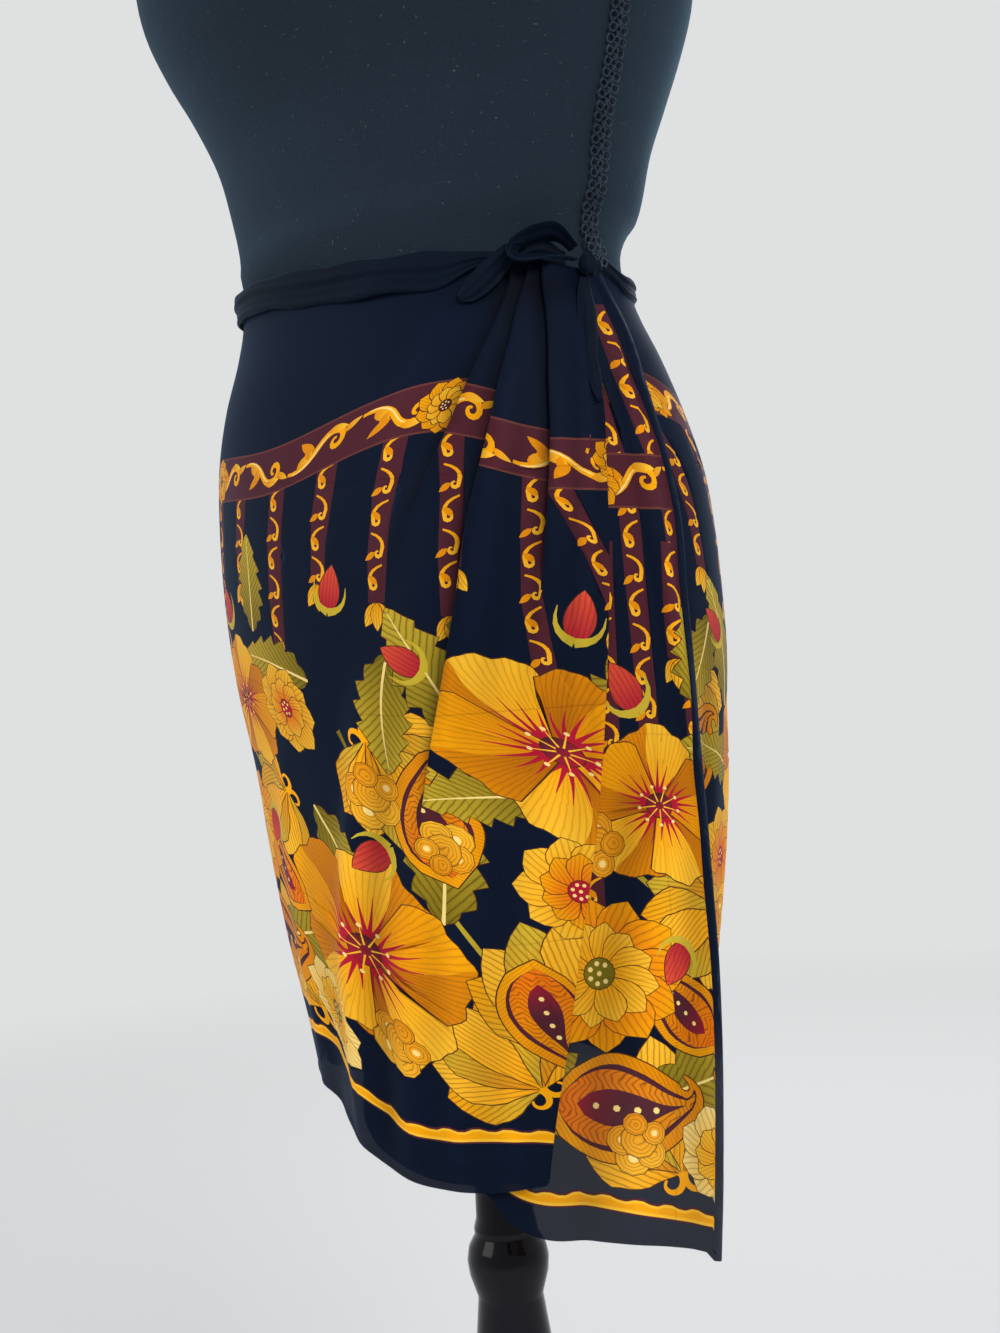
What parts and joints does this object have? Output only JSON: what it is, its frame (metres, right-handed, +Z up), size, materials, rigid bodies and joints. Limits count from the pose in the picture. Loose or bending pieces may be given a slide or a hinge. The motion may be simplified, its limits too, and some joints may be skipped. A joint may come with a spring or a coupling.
{
  "type": "wrap skirt on a limbless dress form and turned stand",
  "caption": "Knee-length wrap skirt in printed silk, pleated into a knot at the left hip with a free tail, worn by a limbless jersey dress form on a turned post with a round foot.",
  "frame": {"origin": "centre of the round foot's underside, on the floor", "axes": "+Z up along the post; the form faces -Y, so the wearer's left hip, with the knot, is at +X"},
  "size_m": [0.4, 0.4, 1.534],
  "materials": {
    "printed_silk": "soft sheen, printed ornament on a blue-black ground",
    "black_georgette": "soft sheen, slightly sheer",
    "form_jersey": "matt fine knit",
    "gimp_braid": "corded, matt",
    "ebonised_wood": "polished black lacquer"
  },
  "bodies": {
    "root": {"skirt_front": "printed_silk", "skirt_turned_under": "printed_silk", "skirt_tail": "printed_silk", "skirt_back": "printed_silk", "skirt_inner_front": "printed_silk", "skirt_free_band": "black_georgette", "tie_front": "black_georgette", "tie_back": "black_georgette", "tie_knot": "black_georgette", "tie_bow_loop": "black_georgette", "tie_end_across": "black_georgette", "tie_end_down": "black_georgette", "form_torso": "form_jersey", "form_side_braid": "gimp_braid", "form_neck_cap": "ebonised_wood", "stand_post": "ebonised_wood", "stand_foot": "ebonised_wood"}
  },
  "joints": []
}
